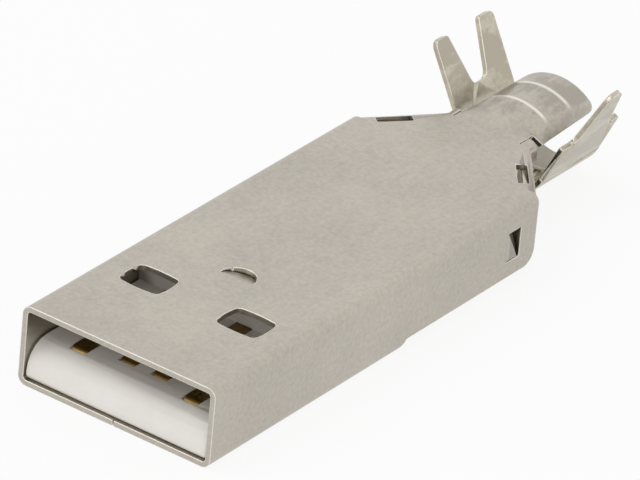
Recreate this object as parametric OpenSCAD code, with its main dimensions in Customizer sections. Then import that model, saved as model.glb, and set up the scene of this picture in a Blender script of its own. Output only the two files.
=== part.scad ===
// Wire-mount type-A data plug: a folded two-part metal shell, a moulded insulator and four blade contacts.
// +X is to the right seen from the mating end, +Y runs towards the cable and +Z is up.
// The origin is the centre of the mating face. The modules draw on an underside at Z = 0,
// and seated() then moves each piece down by half the plug's height.

/* [Mating tube] */
// Width of the tube
plug_w = 12; // [11.8:0.05:12.2]
// Height of the tube
plug_h = 4.5; // [4.4:0.05:4.6]
// Thickness of the shell sheet
sheet_t = 0.3; // [0.26:0.01:0.32]
// Outside radius of every fold
fold_r = 0.5; // [0.42:0.02:0.56]
// Length of the closed tube
tube_l = 16.2; // [15.8:0.1:16.6]

/* [Latch windows] */
// Width of a window
window_w = 2.5; // [2.3:0.05:2.7]
// Length of a window
window_l = 2; // [1.8:0.05:2.2]
// Distance of a window's centre from the centre line
window_x = 3.04; // [2.9:0.02:3.2]
// Distance of a window's centre from the mating face
window_y = 6.38; // [6:0.02:6.6]
// Corner radius of a window
window_r = 0.35; // [0.2:0.05:0.5]
// How far the middle of each window edge bows out
window_bow = 0.06; // [0.02:0.01:0.1]

/* [Rear housing] */
// Distance from the mating face to the rear end of the side walls
body_l = 27.45; // [27.35:0.05:27.6]
// Height of the side walls' lower edge above the underside
skirt_z = 0.57; // [0.52:0.01:0.7]
// Distance from the mating face to the line where the shoulders start
shoulder_y = 27.3; // [27.2:0.02:27.34]
// Length of a shoulder along Y
shoulder_l = 4; // [3.9:0.05:4.1]
// Half width of the throat at the end of the shoulders
throat_x = 2.75; // [2.7:0.01:2.8]
// Distance from the mating face to the rear end of the top sheet beside the neck
throat_y = 31.88; // [31.8:0.02:32]
// Half width of the strip that rises into the dome
strip_x = 2.09; // [2.05:0.01:2.12]
// Length of a bend slot
slot_l = 1.95; // [1.8:0.05:2.1]
// Width of a bend slot
slot_w = 0.6; // [0.5:0.02:0.62]
// Distance of a bend slot from the front end of its shoulder
slot_s = 1.25; // [1.1:0.05:1.4]

/* [Sheet lances] */
// Distance of the half-moon lance's fold from the mating face
moon_y = 9.55; // [9.4:0.05:9.7]
// Radius of the half-moon lance
moon_r = 0.93; // [0.85:0.02:1.05]
// Angle that the half-moon lance is pressed in
moon_press = 16; // [10:1:18]
// Front end of the side lance
lance_y = 24.92; // [24.8:0.02:25]
// Length of the side lance
lance_l = 1.13; // [1.05:0.01:1.2]
// Lower edge of the side lance above the underside
lance_z = 1.5; // [1.4:0.05:1.6]
// Height of the side lance
lance_h = 1.7; // [1.5:0.05:1.8]
// Angle that the side lance's corner is folded in
lance_fold = 27; // [15:1:30]

/* [Cable dome] */
// Outside radius of the dome
dome_r = 3.175; // [3.1:0.025:3.25]
// Height of the dome's top above the underside
dome_top = 5.1; // [5:0.02:5.2]
// Distance from the mating face to the front edge of the dome's skirts
dome_start = 32.42; // [32.4:0.01:32.5]
// Distance from the mating face to the rear end of the dome
dome_end = 37.64; // [37.4:0.02:37.8]
// Height of a cross rib
rib_h = 0.08; // [0.04:0.01:0.1]
// Distance from the mating face to the front cross rib
rib_front = 33.92; // [33.8:0.02:34]
// Distance from the mating face to the rear cross rib
rib_rear = 36.02; // [35.9:0.02:36.2]

/* [Cradle and wings] */
// Outside radius of the cradle
cradle_r = 2.8; // [2.76:0.01:2.84]
// Distance from the mating face to the front end of the cradle
cradle_start = 33.05; // [32.95:0.05:33.1]
// Length of the cradle
cradle_l = 5.1; // [5:0.05:5.2]
// Angle that the forked wing leans out
fork_lean = 28; // [26:0.5:30]
// Angle that the pronged wing leans out
prong_lean = 25; // [24:0.5:27]
// Height of the wings above the cradle's round part
wing_h = 6; // [5.8:0.05:6.2]

/* [Insulator and contacts] */
// Height of the tongue
tongue_h = 2; // [1.95:0.01:2.05]
// Setback of the tongue from the mating face
tongue_y = 0.12; // [0.05:0.01:0.2]
// Radius of the tongue's upper front edge
nose_r = 1.5; // [1.2:0.05:1.6]
// Distance from the mating face to the block that closes the mating space
block_y = 9.2; // [9:0.05:9.3]
// Distance of an inner contact from the centre line
inner_x = 1; // [0.95:0.01:1.05]
// Distance of an outer contact from the centre line
outer_x = 3.5; // [3.45:0.01:3.55]
// Width of a contact
contact_w = 1; // [0.9:0.02:1.04]
// Thickness of a contact
contact_t = 0.3; // [0.26:0.01:0.32]

/* [Hidden] */
$fn = 48;
arc_steps = 5;
gap = 0.03;
slit = 0.08;
hair = 0.01;
past = 1;
inside_r = fold_r - sheet_t;
inside_x = plug_w / 2 - sheet_t;
ceiling_z = plug_h - sheet_t;
body_end = body_l + 12;

shoulder_a = atan2(shoulder_l, plug_w / 2 - throat_x);
shoulder_out = [sin(shoulder_a), cos(shoulder_a)];
shoulder_back = [-cos(shoulder_a), sin(shoulder_a)];
relief = 0.45;
throat_flange_z = 3.4;
slot_inset = 0.36;

dome_a = 51.4;
dome_toe = 3.6;
rib_a = 38;
rib_w = 0.36;
ramp_start = 31.1;
ramp_end = 33.2;

pan_inset = sheet_t + 0.02;
pan_top = 3.9;
pan_start = tube_l + 0.25;
pan_end = 31.5;
neck_x = 1.9;
neck_start = 31.3;

tongue_top = sheet_t + tongue_h;
tongue_x = 5.6;
floor_z = sheet_t + gap;
block_end = tube_l - 0.15;
deck_end = 23;
deck_x = 5.1;
tail_end = 22.4;
silver = [0.72, 0.7, 0.66];
steel = [0.68, 0.66, 0.62];
ivory = [0.9, 0.89, 0.86];
gold = [0.72, 0.55, 0.25];

// ---- helpers ----

// Moves a piece from its underside at Z = 0 to the frame of the mating face's centre.
module seated() {
    translate([0, 0, -plug_h / 2]) children();
}

// Extrudes an X-Z outline along Y.
module along_y(y0, y1) {
    translate([0, y1, 0]) rotate([90, 0, 0]) linear_extrude(height = y1 - y0) children();
}

// Extrudes a Y-Z outline along X, centred.
module along_x(width) {
    rotate([90, 0, 90]) linear_extrude(height = width, center = true) children();
}

// Extrudes an X-Y outline upwards between two heights.
module upwards(z0, z1) {
    translate([0, 0, z0]) linear_extrude(height = z1 - z0) children();
}

module both_sides() {
    children();
    mirror([1, 0, 0]) children();
}

function unit(v) = v / norm(v);
function xy(p) = [p.x, p.y];
function mirrored(side) = concat(side, [for (i = [len(side) - 1 : -1 : 0]) [-side[i].x, side[i].y]]);
function smooth(t) = t <= 0 ? 0 : t >= 1 ? 1 : t * t * (3 - 2 * t);

// Arc of radius r that rounds the corner b between a and c.
function corner(a, b, c, r) = r <= 0 ? [b] :
    let (u = unit(a - b), v = unit(c - b), half = acos(u * v) / 2,
         centre = b + unit(u + v) * r / sin(half), start = b + u * r / tan(half) - centre,
         turn = (cross(u, v) < 0 ? 1 : -1) * (180 - 2 * half))
    [for (i = [0 : arc_steps]) let (t = turn * i / arc_steps)
        centre + [start.x * cos(t) - start.y * sin(t), start.x * sin(t) + start.y * cos(t)]];

// Outline through points [x, y, corner radius].
function rounded(p) = [for (i = [0 : len(p) - 1])
    each corner(xy(p[(i + len(p) - 1) % len(p)]), xy(p[i]), xy(p[(i + 1) % len(p)]), p[i].z)];

// Rectangle of width w that stands on Z = 0, with four round corners.
module round_box(w, h, r) {
    translate([-w / 2 + r, 0]) square([w - 2 * r, h]);
    translate([-w / 2, r]) square([w, h - 2 * r]);
    for (x = [-1, 1], z = [r, h - r]) translate([x * (w / 2 - r), z]) circle(r);
}

// Point of a sheet's section at a distance along its arc and a depth below its outside.
// A row is [y, half width along the arc, curvature, height of the crown, rib height].
function arc_point(row, along, depth, up) =
    let (turn = along * row[2] * 180 / PI, flat = row[2] < 0.001,
         across = flat ? along : sin(turn) / row[2], fall = flat ? 0 : (1 - cos(turn)) / row[2],
         lift = row[4] * smooth((rib_a - abs(turn)) / 8) - depth)
    [across + lift * sin(turn), row[0], row[3] + up * (lift * cos(turn) - fall)];

// Sheet lofted through rows of sections, convex upwards where up is 1 and downwards where it is -1.
module lofted_sheet(rows, up, columns, thickness) {
    n = columns + 1;
    m = len(rows);
    points = [for (depth = [0, thickness]) for (row = rows) for (j = [0 : columns])
        arc_point(row, row[1] * (2 * j / columns - 1), depth, up)];
    function at(side, i, j) = (side * m + i) * n + j;
    function quad(a, b, c, d) = up > 0 ? [[a, b, c], [a, c, d]] : [[c, b, a], [d, c, a]];
    faces = [
        for (i = [0 : m - 2]) for (j = [0 : columns - 1]) each concat(
            quad(at(0, i, j), at(0, i + 1, j), at(0, i + 1, j + 1), at(0, i, j + 1)),
            quad(at(1, i, j + 1), at(1, i + 1, j + 1), at(1, i + 1, j), at(1, i, j))),
        for (i = [0 : m - 2]) each concat(
            quad(at(1, i, 0), at(1, i + 1, 0), at(0, i + 1, 0), at(0, i, 0)),
            quad(at(0, i, columns), at(0, i + 1, columns), at(1, i + 1, columns), at(1, i, columns))),
        for (j = [0 : columns - 1]) each concat(
            quad(at(0, 0, j), at(0, 0, j + 1), at(1, 0, j + 1), at(1, 0, j)),
            quad(at(1, m - 1, j), at(1, m - 1, j + 1), at(0, m - 1, j + 1), at(0, m - 1, j)))
    ];
    polyhedron(points = points, faces = faces, convexity = 6);
}

// Corners of a shell's plan on the right, set in from the upper shell's outside:
// where the side meets the shoulder, and where the shoulder meets the throat.
function plan_corners(inset) =
    let (foot = [plug_w / 2, shoulder_y] - inset * shoulder_out, slope = tan(shoulder_a),
         side_x = plug_w / 2 - inset, end_x = throat_x - inset)
    [[side_x, foot.y + (foot.x - side_x) * slope], [end_x, foot.y + (foot.x - end_x) * slope]];

// Quarter bend and hanging flange, with the outside face at X = 0 and the sheet on its left.
// A root is flat sheet before the bend, which lets a plate end inside it.
module flange_profile(bottom, root = 0) {
    translate([-fold_r, ceiling_z - inside_r]) intersection() {
        difference() {
            circle(fold_r);
            circle(inside_r);
        }
        square(fold_r);
    }
    translate([-sheet_t, bottom]) square([sheet_t, plug_h - fold_r - bottom]);
    if (root > 0) translate([-fold_r - root, ceiling_z]) square([root, sheet_t]);
}

// Flange of length l from the front point a, turned from +Y to the left by an angle.
module flange_run(a, turn, l, bottom, root = 0) {
    translate([a.x, a.y, 0]) rotate([0, 0, turn]) along_y(0, l) flange_profile(bottom, root);
}

// Space behind, or in front of, the line on which the shoulder meets the throat's wall.
module mitre(at, behind) {
    translate([at.x, at.y, 0]) rotate([0, 0, (90 - shoulder_a) / 2])
        translate([-2 * past, behind ? 0 : -2 * past, -past]) cube([3 * past, 2 * past, plug_h + 2 * past]);
}

// Front end of a shoulder's fold, on the sheet's outside.
function shoulder_front(inset) = plan_corners(inset)[0] + relief * shoulder_back;

// Flanges of the upper shell's right shoulder and throat, joined on a mitre.
module shoulder_flanges() {
    throat = plan_corners(0)[1];
    front = shoulder_front(0);
    difference() {
        flange_run(front, 90 - shoulder_a, norm(throat - front) + fold_r, skirt_z);
        mitre(throat, true);
    }
    difference() {
        flange_run(throat - [0, fold_r], 0, throat_y - throat.y + fold_r, throat_flange_z);
        mitre(throat, false);
    }
}

// ---- upper shell ----

// Section of the closed tube.
module tube_section() {
    difference() {
        round_box(plug_w, plug_h, fold_r);
        translate([0, sheet_t]) round_box(plug_w - 2 * sheet_t, plug_h - 2 * sheet_t, inside_r);
    }
}

// Shallow circle segment on the edge of a window, with its chord along X.
module bow(chord) {
    r = (chord * chord / 4 + window_bow * window_bow) / (2 * window_bow);
    intersection() {
        translate([0, window_bow - r]) circle(r, $fn = 180);
        translate([-chord / 2, -window_bow]) square([chord, 3 * window_bow]);
    }
}

// Outline of a latch window: round corners, and edges that bow out.
module window_outline() {
    half = [window_w / 2, window_l / 2];
    translate([-half.x, -half.y + window_r]) square([window_w, window_l - 2 * window_r]);
    translate([-half.x + window_r, -half.y]) square([window_w - 2 * window_r, window_l]);
    for (x = [-1, 1], y = [-1, 1]) translate([x * (half.x - window_r), y * (half.y - window_r)]) circle(window_r);
    for (turn = [0, 180]) rotate(turn) {
        translate([0, half.y]) bow(window_w - 2 * window_r);
        rotate(90) translate([0, half.x]) bow(window_l - 2 * window_r);
    }
}

// Top sheet behind the side walls, up to the slits beside the rising strip.
module shoulder_plate() {
    throat = plan_corners(fold_r)[1];
    side = [[plug_w / 2 - fold_r, body_l - 2 * past], [plug_w / 2 - fold_r, shoulder_y - 0.1],
            shoulder_front(0) - fold_r * shoulder_out, throat, [throat.x, throat_y],
            [strip_x + slit, throat_y], [strip_x + slit, ramp_start]];
    upwards(ceiling_z, plug_h) polygon(mirrored(side));
}

// Half width along the arc of the dome's sheet, with drawn-in skirts and round rear corners.
function dome_half(y) =
    let (end_r = 0.5, from_end = dome_end - y, toe = dome_toe * (y - dome_start) / (dome_end - dome_start),
         square_end = dome_r * PI / 180 * (dome_a - toe))
    from_end >= end_r ? square_end : square_end - end_r + sqrt(end_r * end_r - pow(end_r - from_end, 2));

// Height of the pressed ribs at a distance from the mating face.
function rib_at(y) =
    let (d = min(abs(y - rib_front), abs(y - rib_rear)))
    d > rib_w ? 0 : rib_h * (1 + cos(180 * d / rib_w)) / 2;

// Strip that rises from the flat top, widens and becomes the dome.
module dome() {
    ramp = [for (i = [0 : 4]) ramp_start + i * (dome_start - 0.1 - ramp_start) / 4];
    skirts = [dome_start + 0.18, dome_start + 0.4, ramp_end];
    ribs = [for (c = [rib_front, rib_rear]) for (d = [-1 : 0.5 : 1]) c + d * rib_w];
    rim = [for (d = [1, 0.5, 0.3, 0.13, 0.03, 0]) dome_end - d];
    widths = concat([for (y = ramp) [y, strip_x]], [[dome_start, 1.02 * strip_x]],
                    [for (y = concat(skirts, ribs, rim)) [y, dome_half(y)]]);
    rows = [for (p = widths) let (b = smooth((p[0] - ramp_start) / (ramp_end - ramp_start)))
        [p[0], p[1], b / dome_r, plug_h + b * (dome_top - plug_h), rib_at(p[0])]];
    lofted_sheet(rows, 1, 16, sheet_t);
}

// Opening of a side lance: its folded corner, and a slit under its flat part.
module lance_opening() {
    translate([plug_w / 2 - sheet_t / 2, 0, 0]) along_x(2 * sheet_t) {
        polygon([[lance_y, lance_z + lance_h], [lance_y + lance_l, lance_z + lance_h],
                 [lance_y + lance_l, lance_z], [lance_y + lance_l - 2 * slit, lance_z]]);
        translate([lance_y, lance_z]) square([lance_l, slit]);
    }
}

// Corner of a side lance, folded in about the diagonal from its top front to its bottom rear.
// Its root is sunk into the wall, so that the fold has no gap.
module lance_corner() {
    run = [lance_l - 2 * slit, lance_h];
    length = norm(run);
    root = slit;
    translate([plug_w / 2 - root / 2, lance_y, lance_z + lance_h]) rotate([-atan2(run.y, run.x), 0, 0])
        rotate([90, 0, 90]) rotate([-lance_fold, 0, 0]) upwards(-sheet_t, 0)
        polygon([[root, -root], [length - root, -root], [length - root, 0],
                 [run.x * run.x / length, run.x * run.y / length - slit], [root, 0]]);
}

// Outline of the half-moon tab, grown by a margin at its round edge.
module moon_outline(margin) {
    intersection() {
        translate([0, 0.15]) circle(moon_r + margin);
        translate([-2 * moon_r, 0]) square([4 * moon_r, 2 * moon_r]);
    }
}

// Half-moon tab in the top, pressed down at its rear.
module moon_tab() {
    reach = moon_r + 0.2;
    drop = reach * tan(moon_press);
    translate([0, moon_y, 0]) intersection() {
        along_x(4 * moon_r) polygon([[-slit, ceiling_z], [-slit, plug_h], [0, plug_h],
                                     [reach, plug_h - drop], [reach, ceiling_z - drop], [0, ceiling_z]]);
        upwards(0, plug_h + past) {
            moon_outline(-slit / 2);
            translate([-0.9 * moon_r, -2 * slit]) square([1.8 * moon_r, 3 * slit]);
        }
    }
}

// Seam where the folded tube closes underneath, with one dovetail.
module seam() {
    tail = [[0, 7], [-0.9, 6.6], [-0.9, 9.4], [0, 9]];
    upwards(-past, sheet_t + slit) {
        for (run = [[-past, 7], [9, tube_l + past]]) translate([-slit / 2, run[0]]) square([slit, run[1] - run[0]]);
        for (i = [0 : 2]) let (a = tail[i], b = tail[i + 1])
            translate(a) rotate(atan2((b - a).y, (b - a).x)) translate([-slit / 2, -slit / 2])
                square([norm(b - a) + slit, slit]);
    }
}

// Everything below the side walls' lower edge, behind the tube.
module skirt_cut() {
    along_x(2 * plug_w) polygon([[tube_l - 0.2, -past], [tube_l - 0.2, 0.15], [tube_l + 0.25, skirt_z],
                                 [body_end, skirt_z], [body_end, -past]]);
}

// Rounds the lower rear corners of the side walls.
module wall_corner() {
    r = 0.85;
    along_x(2 * plug_w) polygon(concat(
        corner([body_l - 2 * r, skirt_z], [body_l, skirt_z], [body_l, plug_h], r),
        [[body_l + past, skirt_z + r], [body_l + past, 0], [body_l - r, 0]]));
}

module upper_shell() {
    color(silver) seated() {
        difference() {
            union() {
                difference() {
                    along_y(0, body_l) tube_section();
                    wall_corner();
                }
                shoulder_plate();
                both_sides() shoulder_flanges();
            }
            skirt_cut();
            both_sides() translate([window_x, window_y, 0]) for (z = [0, ceiling_z])
                upwards(z - sheet_t, z + 2 * sheet_t) window_outline();
            translate([0, moon_y, 0]) upwards(ceiling_z - sheet_t, plug_h + past) moon_outline(slit / 2);
            both_sides() translate([plug_w / 2, shoulder_y, 0]) rotate([0, 0, 90 - shoulder_a])
                translate([-slot_inset - slot_w, slot_s, ceiling_z - inside_r]) cube([slot_w, slot_l, past]);
            both_sides() lance_opening();
            seam();
        }
        moon_tab();
        both_sides() lance_corner();
        dome();
    }
}

// ---- lower shell ----

// Draws its children upside down between the plug's top and underside.
module inverted() {
    translate([0, 0, plug_h]) mirror([0, 0, 1]) children();
}

// Flat bottom with folded-up sides and shoulders.
module pan() {
    lip = plug_h - pan_top;
    side = plan_corners(pan_inset)[0];
    side_end = side.y - 0.1;
    front = shoulder_front(pan_inset);
    run = norm(plan_corners(pan_inset)[1] - front) - fold_r;
    root = 0.2;
    edge = front - (fold_r + root / 2) * shoulder_out;
    inverted() {
        upwards(ceiling_z, plug_h) polygon(mirrored([
            [side.x - fold_r, pan_start], [side.x - fold_r, side_end], edge + root / 2 * shoulder_back,
            edge + (run - root / 2) * shoulder_back, [neck_x + 0.15, pan_end]]));
        both_sides() {
            flange_run([side.x, pan_start], 0, side_end - pan_start, lip);
            flange_run(front, 90 - shoulder_a, run, lip, root);
        }
    }
}

// Tab on the right shoulder that reaches up into the upper shell's bend slot.
module slot_tab() {
    margin = 0.1;
    translate([plug_w / 2, shoulder_y, 0]) rotate([0, 0, 90 - shoulder_a])
        translate([-pan_inset - sheet_t, slot_s + margin, pan_top - past])
        cube([sheet_t - slot_inset + pan_inset - gap, slot_l - 2 * margin, plug_h - pan_top + past - 0.25]);
}

// Space round a side lance of the upper shell.
module lance_window() {
    margin = 0.15;
    translate([inside_x, 0, 0]) along_x(4 * sheet_t) translate([lance_y - margin, lance_z - margin])
        square([lance_l + 2 * margin, lance_h + 2 * margin]);
}

// Bottom strip that bends from the flat bottom into the cradle. It is a hair thinner than the
// sheets it joins, and runs a little way into both.
module neck() {
    steps = 7;
    bend = [for (i = [0 : steps]) [neck_start + i / steps * (cradle_start - neck_start), smooth(i / steps)]];
    rows = [for (p = concat(bend, [[cradle_start + 0.2, 1]]))
        [p[0], neck_x, p[1] / (cradle_r - hair), hair, 0]];
    lofted_sheet(rows, -1, 12, sheet_t - 2 * hair);
}

// Round trough that holds the cable, with two pressed ribs.
module cradle() {
    bead = 0.18;
    translate([0, cradle_start, cradle_r]) rotate([-90, 0, 0]) difference() {
        union() {
            rotate([0, 0, prong_lean]) rotate_extrude(angle = 180 - fork_lean - prong_lean, $fn = 96)
                translate([cradle_r - sheet_t, 0]) square([sheet_t, cradle_l]);
            for (y = [rib_front, rib_rear]) rotate([0, 0, 90 - rib_a]) rotate_extrude(angle = 2 * rib_a, $fn = 96)
                translate([cradle_r - sheet_t + bead - rib_h, y - cradle_start]) circle(bead);
        }
        for (y = [rib_front, rib_rear]) rotate([0, 0, 90 - rib_a]) rotate_extrude(angle = 2 * rib_a, $fn = 96)
            translate([cradle_r + bead - rib_h, y - cradle_start]) circle(bead);
    }
}

// Stands a wing, drawn as distance along Y and height, in the end of the cradle's round part.
module wing(lean) {
    translate([cradle_r * cos(lean), cradle_start, cradle_r * (1 - sin(lean))]) rotate([0, lean, 0])
        rotate([90, 0, 90]) upwards(hair - sheet_t, -hair) children();
}

// Forked wing: two prongs with a round valley.
module fork() {
    valley = wing_h - 3.1;
    polygon(rounded([
        [hair, -0.1, 0], [cradle_l - hair, -0.1, 0], [cradle_l + 0.1, wing_h, 0.38], [3.98, wing_h, 0.3],
        [3.22, valley, 0.52], [2, valley, 0.52], [1.18, wing_h, 0.3], [0.1, wing_h, 0.42]
    ]));
}

// Pronged wing: one tapered prong between two shoulders.
module prong() {
    step = 2.45;
    polygon(rounded([
        [hair, -0.1, 0], [cradle_l - hair, -0.1, 0], [cradle_l - 0.15, step + 0.25, 0.15], [4, step, 0.4],
        [3.1, wing_h - 0.45, 0.45], [2.1, wing_h - 0.45, 0.45], [1.15, step, 0.4], [0.05, step, 0.15]
    ]));
}

module lower_shell() {
    color(steel) seated() {
        difference() {
            pan();
            both_sides() lance_window();
        }
        both_sides() slot_tab();
        neck();
        cradle();
        wing(prong_lean) prong();
        mirror([1, 0, 0]) wing(fork_lean) fork();
    }
}

// ---- insulator ----

// Side view of the tongue, with its round nose.
module tongue_side() {
    polygon(concat(
        corner([block_y, tongue_top], [tongue_y, tongue_top], [tongue_y, floor_z], nose_r),
        corner([tongue_y, tongue_top], [tongue_y, floor_z], [block_y, floor_z], 0.25),
        [[block_y + past, floor_z], [block_y + past, tongue_top]]));
}

// Groove and passage of one contact, from the tongue's front to the deck's end.
module contact_passage(x, front) {
    wide = contact_w + 2 * gap;
    blade_z = tongue_top - contact_t - gap;
    translate([x - wide / 2, 0, 0]) {
        translate([0, front, blade_z - 0.12]) cube([wide, block_y - front, past]);
        translate([0, block_y - past, blade_z]) cube([wide, deck_end, contact_t + 2 * gap]);
        translate([0, block_end + 0.4, blade_z]) cube([wide, deck_end, past]);
    }
}

module insulator() {
    color(ivory) seated() difference() {
        union() {
            intersection() {
                along_x(2 * tongue_x) tongue_side();
                along_y(0, block_y + past) translate([0, floor_z]) round_box(2 * tongue_x, plug_h, 0.3);
            }
            along_y(block_y, block_end) translate([0, floor_z])
                round_box(2 * (inside_x - gap), plug_h - 2 * floor_z, inside_r);
            along_y(block_end - past, deck_end) translate([-deck_x, floor_z])
                square([2 * deck_x, tongue_top + 0.3 - floor_z]);
        }
        for (x = [-outer_x, outer_x]) contact_passage(x, 1.35);
        for (x = [-inner_x, inner_x]) contact_passage(x, 2.1);
        translate([-moon_r - 0.1, 0, ceiling_z - 0.5]) cube([2 * moon_r + 0.2, moon_y + moon_r + 0.4, past]);
        both_sides() translate([window_x, window_y, 0]) upwards(0, sheet_t + 0.8)
            square([window_w, window_l], center = true);
    }
}

// ---- contacts ----

// Blade contact: a nose bent down into its groove, a flat blade and a solder tail.
module contact(x, front) {
    bend = 0.42;
    color(gold) seated() translate([x, front + bend, 0]) along_x(contact_w) {
        translate([0, tongue_top - contact_t]) square([tail_end - front - bend, contact_t]);
        translate([0, tongue_top - bend]) intersection() {
            difference() {
                circle(bend);
                circle(bend - contact_t);
            }
            rotate(90) square(bend);
        }
    }
}

module left_outer_contact() contact(-outer_x, 1.45);
module left_inner_contact() contact(-inner_x, 2.2);
module right_inner_contact() contact(inner_x, 2.2);
module right_outer_contact() contact(outer_x, 1.45);

upper_shell();
lower_shell();
insulator();
left_outer_contact();
left_inner_contact();
right_inner_contact();
right_outer_contact();
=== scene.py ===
"""Dresses a wire-mount type-A data plug: plated steel shells, a white insulator and gilt contacts.

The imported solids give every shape. Each one is copied, its triangles are joined and its folds are
smoothed, and the copy gets its finish and stands for the solid.
"""

import logging
import math
from dataclasses import dataclass, field
from enum import Enum

import bpy
from mathutils import Matrix, Vector


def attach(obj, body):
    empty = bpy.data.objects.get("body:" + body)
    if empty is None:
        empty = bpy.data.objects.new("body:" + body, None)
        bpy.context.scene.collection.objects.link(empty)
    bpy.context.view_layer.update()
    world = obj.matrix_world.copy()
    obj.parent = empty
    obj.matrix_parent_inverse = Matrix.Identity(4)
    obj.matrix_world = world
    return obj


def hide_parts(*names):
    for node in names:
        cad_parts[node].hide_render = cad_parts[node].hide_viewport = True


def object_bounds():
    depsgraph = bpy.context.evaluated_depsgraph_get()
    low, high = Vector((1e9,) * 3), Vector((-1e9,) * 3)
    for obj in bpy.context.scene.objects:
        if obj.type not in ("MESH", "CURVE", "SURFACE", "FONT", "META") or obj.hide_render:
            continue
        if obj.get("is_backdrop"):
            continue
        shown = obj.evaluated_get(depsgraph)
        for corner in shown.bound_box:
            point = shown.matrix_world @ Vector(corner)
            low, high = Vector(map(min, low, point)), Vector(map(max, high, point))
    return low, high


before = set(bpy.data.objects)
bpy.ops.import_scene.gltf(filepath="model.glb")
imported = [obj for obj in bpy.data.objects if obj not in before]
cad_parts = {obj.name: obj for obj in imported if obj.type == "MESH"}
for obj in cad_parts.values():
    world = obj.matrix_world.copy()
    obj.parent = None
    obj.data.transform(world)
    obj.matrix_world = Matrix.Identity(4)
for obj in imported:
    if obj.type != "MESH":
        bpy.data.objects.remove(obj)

Colour = tuple[float, float, float]
Point = tuple[float, float, float]
LOG = logging.getLogger("data_plug")
BODY = "root"
EVEN: Point = (1.0, 1.0, 1.0)
WHITE = (1.0, 1.0, 1.0, 1.0)
MM = 1000.0


class Lay(Enum):
    """Which way the fine marks of a finish run."""

    ALONG = (1.0, 0.045, 1.0)
    ACROSS = (0.06, 1.0, 1.0)


@dataclass(frozen=True)
class Value:
    """A number of a material, on which Python's operators add Math nodes.

    Args:
        wires: The material's nodes.
        socket: The socket that gives the number.
    """

    wires: "Wires"
    socket: bpy.types.NodeSocket

    def _math(self, operation: str, *terms: "Value | float", clamp: bool = False) -> "Value":
        """Adds one Math node.

        Args:
            operation: The node's operation.
            terms: Its values, in order.
            clamp: Whether the result is held between 0 and 1.

        Returns:
            The result.
        """
        settings = {"operation": operation, "use_clamp": clamp}
        return self.wires.add("ShaderNodeMath", settings, dict(enumerate(terms)))

    def __add__(self, other: "Value | float") -> "Value":
        """The sum."""
        return self._math("ADD", self, other)

    def __radd__(self, other: float) -> "Value":
        """The sum, from the right."""
        return self._math("ADD", other, self)

    def __sub__(self, other: "Value | float") -> "Value":
        """The difference."""
        return self._math("SUBTRACT", self, other)

    def __rsub__(self, other: float) -> "Value":
        """The difference, from the right."""
        return self._math("SUBTRACT", other, self)

    def __mul__(self, other: "Value | float") -> "Value":
        """The product."""
        return self._math("MULTIPLY", self, other)

    def __rmul__(self, other: float) -> "Value":
        """The product, from the right."""
        return self._math("MULTIPLY", other, self)

    def above(self, low: float, high: float) -> "Value":
        """How far the number is from one limit to another, held between 0 and 1.

        Args:
            low: The limit that gives 0.
            high: The limit that gives 1.

        Returns:
            The share.
        """
        return self._math("DIVIDE", self - low, high - low, clamp=True)


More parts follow.
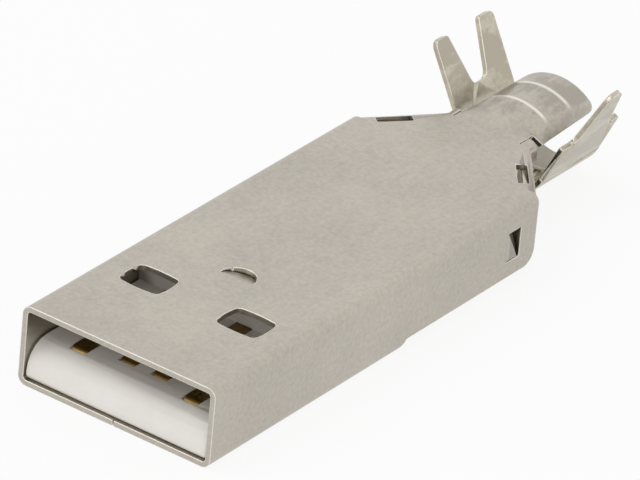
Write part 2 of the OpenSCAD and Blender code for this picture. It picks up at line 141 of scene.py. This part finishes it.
class Wires:
    """The nodes of one material or of the world."""

    def __init__(self, owner: bpy.types.Material | bpy.types.World) -> None:
        """Clears the owner's nodes and adds its output.

        Args:
            owner: What the nodes belong to.
        """
        owner.use_nodes = True
        self.tree = owner.node_tree
        self.tree.nodes.clear()
        kind = "World" if isinstance(owner, bpy.types.World) else "Material"
        self.output = self.tree.nodes.new(f"ShaderNodeOutput{kind}")

    def add(self, kind: str, settings: dict | None = None, inputs: dict | None = None,
            output: int | str = 0) -> Value:
        """Adds a node.

        Args:
            kind: The node's type.
            settings: Its properties, which are set first. A ramp's stops are given as "stops".
            inputs: The value or the link of each socket, by its name or place.
            output: The socket that is wanted.

        Returns:
            That socket as a value.
        """
        node = self.tree.nodes.new(kind)
        for name, setting in (settings or {}).items():
            if name == "stops":
                self._stops(node, setting)
            else:
                setattr(node, name, setting)
        for place, given in (inputs or {}).items():
            if isinstance(given, Value):
                self.tree.links.new(given.socket, node.inputs[place])
            else:
                node.inputs[place].default_value = given
        return Value(self, node.outputs[output])

    def _stops(self, node: bpy.types.Node, stops: list[tuple[float, float]]) -> None:
        """Sets a ramp's grey stops.

        Args:
            node: The ramp.
            stops: Position and brightness of each stop, from the lowest position up.
        """
        ramp = node.color_ramp
        while len(ramp.elements) < len(stops):
            ramp.elements.new(0.5)
        for element, (position, level) in zip(ramp.elements, stops):
            element.position = position
            element.color = (level, level, level, 1.0)

    def place(self) -> Value:
        """The place on the object, in its own coordinates."""
        return self.add("ShaderNodeTexCoord", output="Object")

    def along(self, axis: int) -> Value:
        """One coordinate of the place, in metres.

        Args:
            axis: 0, 1 or 2.

        Returns:
            The coordinate.
        """
        return self.add("ShaderNodeSeparateXYZ", inputs={0: self.place()}, output=axis)

    def noise(self, size: float, detail: float = 3.0, stretch: Point = EVEN,
              seed: float = 0.0) -> Value:
        """Soft noise.

        Args:
            size: The size of its patches in metres.
            detail: How many finer levels it has.
            stretch: The factor on each coordinate.
            seed: A shift that gives another pattern.

        Returns:
            The noise, about 0.5 on average.
        """
        placing = {"Vector": self.place(), "Location": (seed, seed, seed), "Scale": stretch}
        spot = self.add("ShaderNodeMapping", inputs=placing)
        settings = {"Vector": spot, "Scale": 1.0 / size, "Detail": detail, "Roughness": 0.6}
        return self.add("ShaderNodeTexNoise", inputs=settings)

    def ramp(self, value: Value, stops: list[tuple[float, float]]) -> Value:
        """A value through a grey ramp.

        Args:
            value: The value.
            stops: Position and brightness of each stop.

        Returns:
            The ramp's result.
        """
        return self.add("ShaderNodeValToRGB", {"stops": stops}, {0: value})

    def blend(self, share: Value, first: Colour | Value, second: Colour | Value) -> Value:
        """A colour between two.

        Args:
            share: 0 gives the first and 1 the second.
            first: A colour.
            second: Another colour.

        Returns:
            The mixed colour.
        """
        colours = {place: given if isinstance(given, Value) else (*given, 1.0)
                   for place, given in ((6, first), (7, second))}
        return self.add("ShaderNodeMix", {"data_type": "RGBA"}, {0: share, **colours}, output=2)

    def rounded_normal(self, radius: float) -> Value:
        """The surface's direction with every corner rounded.

        Args:
            radius: The radius in metres.

        Returns:
            The direction.
        """
        return self.add("ShaderNodeBevel", {"samples": 6}, {"Radius": radius})

    def corners(self, rounded: Value) -> Value:
        """Where the surface turns a corner.

        Args:
            rounded: The rounded direction.

        Returns:
            1 on a corner and 0 away from it.
        """
        flat = self.add("ShaderNodeNewGeometry", output="Normal")
        same = self.add("ShaderNodeVectorMath", {"operation": "DOT_PRODUCT"}, {0: rounded, 1: flat},
                        output="Value")
        return (1.0 - same).above(0.004, 0.12)

    def relief(self, height: Value, depth: float, normal: Value) -> Value:
        """Fine relief on a surface.

        Args:
            height: Its height, from 0 to 1.
            depth: What a height of 1 stands for, in metres.
            normal: The direction of the surface below it.

        Returns:
            The direction of the relief's surface.
        """
        settings = {"Strength": 1.0, "Distance": depth, "Height": height, "Normal": normal}
        return self.add("ShaderNodeBump", inputs=settings)

    def surface(self, **inputs: "Value | Colour | float") -> None:
        """Adds the shader and joins it to the output.

        Args:
            inputs: Its sockets, with _ for a space.
        """
        sockets = {name.replace("_", " "): given for name, given in inputs.items()}
        shader = self.add("ShaderNodeBsdfPrincipled", inputs=sockets)
        self.tree.links.new(shader.socket, self.output.inputs["Surface"])


@dataclass(frozen=True)
class NickelPlate:
    """Satin nickel plate on stamped steel, with handling marks, painted shade on the formed dome, and
    painted highlights on rib tops, cut edges and corners, partly edge wear.

    Args:
        name: The material's name.
        face: Colour of the flat sheet.
        shade: Colour of its darker patches and of the painted shade on the dome.
        highlight_and_wear_colour: Colour of the painted highlights on rib tops, cut edges and corners,
            partly edge wear.
        roughness: Roughness of the clean sheet.
        lay: Which way the rolling marks run.
        rib_lines: Distances of the pressed ribs from the mating face, in metres.
        patch: Size of the duller patches in metres.
        grain: Size of the satin grain in metres.
        rolled: Size of the rolling marks in metres.
        scuff: Size of the scuffs in metres.
        mark: Size of the marks that forming leaves round the cable end, darkened further as painted shade
            on the dome, in metres.
        formed: Where along Y those marks and that painted shade start and where they are full, in metres.
        corner: Radius of a stamped corner in metres.
        relief: Depth of the fine relief in metres.
    """

    name: str
    face: Colour
    shade: Colour
    highlight_and_wear_colour: Colour
    roughness: float = 0.34
    lay: Lay = Lay.ALONG
    rib_lines: tuple[float, ...] = ()
    patch: float = 0.0042
    grain: float = 0.00024
    rolled: float = 0.00016
    scuff: float = 0.0006
    mark: float = 0.0011
    formed: tuple[float, float] = (0.0318, 0.0332)
    corner: float = 0.00009
    relief: float = 0.0000022

    def ribs(self, wires: Wires) -> Value | float:
        """Where painted highlight brightens the tops of the pressed cross ribs.

        Args:
            wires: The material's nodes.

        Returns:
            1 along the top of a rib and 0 away from it. Both limits are squared distances.
        """
        half_width = (0.0000022, 0.0000036)
        half_run = (0.0000000025, 0.000000022)
        run, side = wires.along(1), wires.along(0)
        middle = 1.0 - (side * side).above(*half_width)
        total: Value | float = 0.0
        for line in self.rib_lines:
            off = run - line
            total = (1.0 - (off * off).above(*half_run)) * middle + total
        return total

    def make(self) -> bpy.types.Material:
        """Makes the material.

        Returns:
            The material.
        """
        material = bpy.data.materials.new(self.name)
        wires = Wires(material)
        patches = wires.noise(self.patch, 4.0)
        grain = wires.noise(self.grain, 4.0, seed=3.0)
        rolling = wires.noise(self.rolled, 3.0, self.lay.value, seed=7.0)
        scuffed = wires.noise(self.scuff, 5.0, (1.0, 0.16, 0.5), seed=11.0)
        scuffs = wires.ramp(scuffed, [(0.6, 0.0), (0.72, 1.0)])
        rounded = wires.rounded_normal(self.corner)
        corners = wires.corners(rounded)
        marks = wires.noise(self.mark, 5.0, (1.0, 0.35, 1.0), seed=19.0)
        dome_marks_and_shade = wires.along(1).above(*self.formed)
        satin = patches.above(0.3, 0.7) * 0.3 + grain.above(0.3, 0.7) * 0.45 + rolling * 0.25
        # Forming marks, deepened by painted shade that darkens the dome.
        tone = satin - marks.above(0.42, 0.58) * dome_marks_and_shade * 0.75
        sheet = wires.blend(tone, self.shade, self.face)
        # Painted highlights on rib tops, cut edges and corners, partly edge wear on the corners; the
        # sheet takes the highlight colour there.
        wear_and_highlight = (self.ribs(wires) * 0.7 + corners * 0.9).above(0.0, 1.0)
        colour = wires.blend(wear_and_highlight, sheet, self.highlight_and_wear_colour)
        rough = (patches - 0.5) * 0.16 + (grain - 0.5) * 0.1 + scuffs * 0.07 + self.roughness
        height = grain * 0.55 + rolling * 0.3 + scuffs * 0.15
        wires.surface(Base_Color=colour, Metallic=1.0, Roughness=rough,
                      Normal=wires.relief(height, self.relief, rounded))
        return material


@dataclass(frozen=True)
class WhiteMoulding:
    """Dense white thermoplastic with a fine moulded grain.

    Args:
        name: The material's name.
        body: Colour of the moulding.
        shade: Colour of its duller patches.
    """

    name: str
    body: Colour
    shade: Colour

    def make(self) -> bpy.types.Material:
        """Makes the material.

        Returns:
            The material.
        """
        material = bpy.data.materials.new(self.name)
        wires = Wires(material)
        flow = wires.noise(0.003, 3.0, (1.0, 0.35, 1.0))
        grain = wires.noise(0.00009, 2.0, seed=5.0)
        rounded = wires.rounded_normal(0.00006)
        worn = wires.corners(rounded)
        tone = flow.above(0.35, 0.65) * 0.7 + grain * 0.3
        colour = wires.blend(tone, self.shade, self.body)
        rough = (grain - 0.5) * 0.2 + (flow - 0.5) * 0.1 - worn * 0.08 + 0.42
        wires.surface(Base_Color=colour, Roughness=rough, Normal=wires.relief(grain, 0.0000016, rounded))
        return material


@dataclass(frozen=True)
class GiltBlade:
    """Thin gold on a copper blade, with painted shade darkening it towards its root inside the shell.

    Args:
        name: The material's name.
        bright: Colour at the mating end.
        shaded_gold: Colour of the painted shade towards the root.
        shade_span: Where along Y the painted shade starts and where it is full, in metres.
    """

    name: str
    bright: Colour
    shaded_gold: Colour
    shade_span: tuple[float, float] = (0.0025, 0.0085)

    def make(self) -> bpy.types.Material:
        """Makes the material.

        Returns:
            The material.
        """
        material = bpy.data.materials.new(self.name)
        wires = Wires(material)
        cloud = wires.noise(0.0009, 4.0)
        # Rub marks on the gold, used only for roughness and relief.
        wear_and_highlight = wires.noise(0.00012, 2.0, Lay.ALONG.value, seed=2.0)
        rounded = wires.rounded_normal(0.00004)
        # Painted shade deeper inside the shell, mixed with a random cloudy tone.
        depth = wires.along(1).above(*self.shade_span)
        shade_and_tone = (depth * 0.55 + cloud.above(0.4, 0.7) * 0.45).above(0.0, 1.0)
        colour = wires.blend(shade_and_tone, self.bright, self.shaded_gold)
        rough = cloud * 0.12 + wear_and_highlight * 0.12 + 0.18
        wires.surface(Base_Color=colour, Metallic=1.0, Roughness=rough,
                      Normal=wires.relief(wear_and_highlight, 0.0000015, rounded))
        return material


def select_none() -> None:
    """Deselects every object."""
    bpy.ops.object.select_all(action="DESELECT")


def select_only(obj: bpy.types.Object) -> None:
    """Leaves one object selected and active.

    Args:
        obj: The object.
    """
    select_none()
    obj.select_set(True)
    bpy.context.view_layer.objects.active = obj


@dataclass
class PlugPart:
    """A solid of the plug that is copied, smoothed and dressed.

    Args:
        node: The solid's name.
        slot: The record's slot for its finish; not used.
        finish: Its finish.
        title: The piece's name.
        fold: The angle in degrees up to which neighbouring faces are one smooth surface.
        joint: The distance in metres within which corners are one.
    """

    node: str
    slot: str
    finish: NickelPlate | WhiteMoulding | GiltBlade
    title: str
    fold: float = 28.0
    joint: float = 0.0000004
    piece: bpy.types.Object | None = field(default=None, init=False)

    def build(self) -> bpy.types.Object:
        """Copies the solid's mesh, joins its triangles and smooths its folds.

        Returns:
            The piece.
        """
        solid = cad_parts[self.node]
        mesh = solid.data.copy()
        mesh.name = self.title
        self.piece = bpy.data.objects.new(self.title, mesh)
        bpy.context.scene.collection.objects.link(self.piece)
        select_only(self.piece)
        bpy.ops.object.mode_set(mode="EDIT")
        bpy.ops.mesh.select_all(action="SELECT")
        bpy.ops.mesh.remove_doubles(threshold=self.joint)
        bpy.ops.mesh.select_all(action="DESELECT")
        bpy.ops.object.mode_set(mode="OBJECT")
        bpy.ops.object.shade_smooth_by_angle(angle=math.radians(self.fold))
        bpy.ops.object.modifier_add(type="WEIGHTED_NORMAL")
        modifier = self.piece.modifiers[-1]
        modifier.mode = "FACE_AREA"
        modifier.weight = 100
        modifier.keep_sharp = True
        bpy.ops.object.modifier_apply(modifier=modifier.name)
        return self.piece

    def dress(self) -> None:
        """Gives the piece its finish and lets it stand for its solid."""
        self.piece.data.materials.clear()
        self.piece.data.materials.append(self.finish.make())
        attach(self.piece, BODY)
        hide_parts(self.node)

    def report(self) -> None:
        """Logs the piece's size."""
        corners = [Vector(corner) for corner in self.piece.bound_box]
        size = [MM * (max(c[i] for c in corners) - min(c[i] for c in corners)) for i in range(3)]
        faces = len(self.piece.data.polygons)
        LOG.info("%s: %d faces, %.2f x %.2f x %.2f mm", self.title, faces, *size)


@dataclass
class ShellPair:
    """The two folded sheets that close round the insulator and the cable.

    Args:
        upper_face: Colour of the upper shell's sheet.
        lower_face: Colour of the lower shell's sheet.
    """

    upper_face: Colour = (0.585, 0.545, 0.475)
    lower_face: Colour = (0.64, 0.6, 0.5)
    pieces: list[PlugPart] = field(default_factory=list, init=False)

    def build(self) -> None:
        """Builds both sheets."""
        # The last two colours are the darker patches with the painted dome shade, and the painted
        # highlight on ribs, edges and corners.
        upper = NickelPlate("nickel_upper", self.upper_face, (0.39, 0.36, 0.312), (0.95, 0.91, 0.82),
                            rib_lines=(0.03392, 0.03602))
        lower = NickelPlate("nickel_lower", self.lower_face, (0.44, 0.4, 0.32), (0.95, 0.91, 0.8),
                            roughness=0.31, lay=Lay.ACROSS)
        self.pieces = [PlugPart("upper_shell", "upper_shell", upper, "upper_sheet"),
                       PlugPart("lower_shell", "lower_shell", lower, "lower_sheet")]
        for part in self.pieces:
            part.build()

    def dress(self) -> None:
        """Dresses both sheets."""
        for part in self.pieces:
            part.dress()
            part.report()


@dataclass
class Tongue:
    """The white insulator with its tongue.

    Args:
        body: Colour of the moulding.
    """

    body: Colour = (0.91, 0.885, 0.84)
    piece: PlugPart | None = field(default=None, init=False)

    def build(self) -> None:
        """Builds the moulding."""
        finish = WhiteMoulding("white_moulding", self.body, (0.84, 0.805, 0.745))
        self.piece = PlugPart("insulator", "insulator", finish, "insulator_block")
        self.piece.build()

    def dress(self) -> None:
        """Dresses the moulding."""
        self.piece.dress()
        self.piece.report()


@dataclass
class ContactRow:
    """The four blade contacts.

    Args:
        nodes: The contacts' solids, from left to right.
    """

    nodes: tuple[str, ...] = ("left_outer_contact", "left_inner_contact", "right_inner_contact",
                              "right_outer_contact")
    blades: list[PlugPart] = field(default_factory=list, init=False)

    def build(self) -> None:
        """Builds the contacts."""
        # The second colour is the painted shade towards the roots.
        finish = GiltBlade("gilt_blade", (0.42, 0.27, 0.085), (0.16, 0.095, 0.04))
        self.blades = [PlugPart(node, "contacts", finish, node.replace("contact", "blade"))
                       for node in self.nodes]
        for blade in self.blades:
            blade.build()

    def dress(self) -> None:
        """Dresses the contacts."""
        for blade in self.blades:
            blade.dress()
            blade.report()


@dataclass
class Studio:
    """A pale floor, a white surround, two soft lamps and the camera.

    Args:
        azimuth: The camera's angle round the plug in degrees, from its mating face towards +X.
        elevation: Its angle above the floor in degrees.
        roll: Its turn about its own line of sight in degrees.
        distance: Its distance from the point that it looks at, in metres.
        target: That point, in metres.
        lens: Its focal length in millimetres, on a sensor 36 mm wide.
        level: The surround's light on dull surfaces.
        floor_size: The floor's side in metres.
        floor_gap: How far the floor lies below the plug, in metres.
        floor_glow: How much of the floor's look is its own white.
        aim: The point that the lamps face, in metres.
    """

    azimuth: float = 33.887
    elevation: float = 29.542
    roll: float = 5.497
    distance: float = 0.449847
    target: Point = (0.003175, 0.012, 0.00475)
    lens: float = 507.556
    level: float = 0.72
    floor_size: float = 1.2
    floor_gap: float = 0.00001
    floor_glow: float = 0.88
    aim: Point = (0.0, 0.015, 0.0)

    def build(self) -> None:
        """Adds the floor, the surround, the lamps and the camera."""
        self._floor()
        self._surround()
        self._lamp("lamp_left", (-0.22, -0.12, 0.3), 0.28, 0.3)
        self._lamp("lamp_right", (0.26, -0.26, 0.2), 0.16, 0.24)
        self._camera()

    def _shown(self, wires: Wires) -> Value:
        """How far a ray shows the background as it is.

        Args:
            wires: The nodes it is used in.

        Returns:
            1 for what the camera sees, itself or in metal, and 0 for light on dull surfaces.
        """
        rays = [wires.add("ShaderNodeLightPath", output=name)
                for name in ("Is Camera Ray", "Is Glossy Ray", "Is Transmission Ray")]
        return (rays[0] + rays[1] + rays[2]).above(0.0, 1.0)

    def _floor(self) -> None:
        """Adds the floor, which keeps a faint shadow."""
        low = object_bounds()[0].z
        select_none()
        bpy.ops.mesh.primitive_plane_add(size=self.floor_size, location=(0, 0.02, low - self.floor_gap))
        floor = bpy.context.object
        floor.name = "floor"
        bpy.ops.object.transform_apply(location=True, rotation=True, scale=True)
        material = bpy.data.materials.new("pale_floor")
        wires = Wires(material)
        paper = wires.add("ShaderNodeBsdfDiffuse", inputs={"Color": (0.95, 0.95, 0.95, 1.0)})
        glow = wires.add("ShaderNodeEmission", inputs={"Strength": 1.0})
        share = self._shown(wires) * self.floor_glow
        mixed = wires.add("ShaderNodeMixShader", inputs={0: share, 1: paper, 2: glow})
        wires.tree.links.new(mixed.socket, wires.output.inputs["Surface"])
        floor.data.materials.append(material)
        floor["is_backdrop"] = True

    def _surround(self) -> None:
        """Makes the world white to the camera and softer on dull surfaces."""
        world = bpy.context.scene.world or bpy.data.worlds.new("surround")
        bpy.context.scene.world = world
        wires = Wires(world)
        light, white = (wires.add("ShaderNodeBackground", inputs={"Color": WHITE, "Strength": strength})
                        for strength in (self.level, 1.0))
        mixed = wires.add("ShaderNodeMixShader", inputs={0: self._shown(wires), 1: light, 2: white})
        wires.tree.links.new(mixed.socket, wires.output.inputs["Surface"])

    def _lamp(self, name: str, place: Point, power: float, size: float) -> None:
        """Adds a soft lamp that faces the plug.

        Args:
            name: Its name.
            place: Where it stands, in metres.
            power: Its power in watts.
            size: Its side in metres.
        """
        lamp = bpy.data.lights.new(name, "AREA")
        lamp.shape = "SQUARE"
        lamp.size = size
        lamp.energy = power
        stand = bpy.data.objects.new(name, lamp)
        bpy.context.scene.collection.objects.link(stand)
        stand.location = place
        stand.rotation_euler = (Vector(self.aim) - Vector(place)).to_track_quat("-Z", "Y").to_euler()

    def _camera(self) -> None:
        """Adds the camera."""
        turn, lift, roll = (math.radians(a) for a in (self.azimuth, self.elevation, self.roll))
        back = Vector((math.sin(turn) * math.cos(lift), -math.cos(turn) * math.cos(lift), math.sin(lift)))
        right = Vector((math.cos(turn), math.sin(turn), 0.0))
        up = back.cross(right)
        axes = (math.cos(roll) * right + math.sin(roll) * up,
                math.cos(roll) * up - math.sin(roll) * right,
                back)
        camera = bpy.data.objects.new("camera", bpy.data.cameras.new("camera"))
        bpy.context.scene.collection.objects.link(camera)
        camera.matrix_world = (Matrix.Translation(Vector(self.target) + self.distance * back)
                               @ Matrix(axes).transposed().to_4x4())
        camera.data.sensor_width = 36.0
        camera.data.lens = self.lens
        camera.data.clip_start, camera.data.clip_end = 0.01, 20.0
        bpy.context.scene.camera = camera


def main() -> None:
    """Builds, dresses and lights the plug."""
    logging.basicConfig(level=logging.INFO, format="%(message)s")
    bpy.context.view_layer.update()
    bpy.context.scene.view_settings.view_transform = "Standard"
    for assembly in (ShellPair(), Tongue(), ContactRow()):
        assembly.build()
        assembly.dress()
        LOG.info("%s is dressed", type(assembly).__name__)
    Studio().build()


if __name__ == "__main__":
    main()
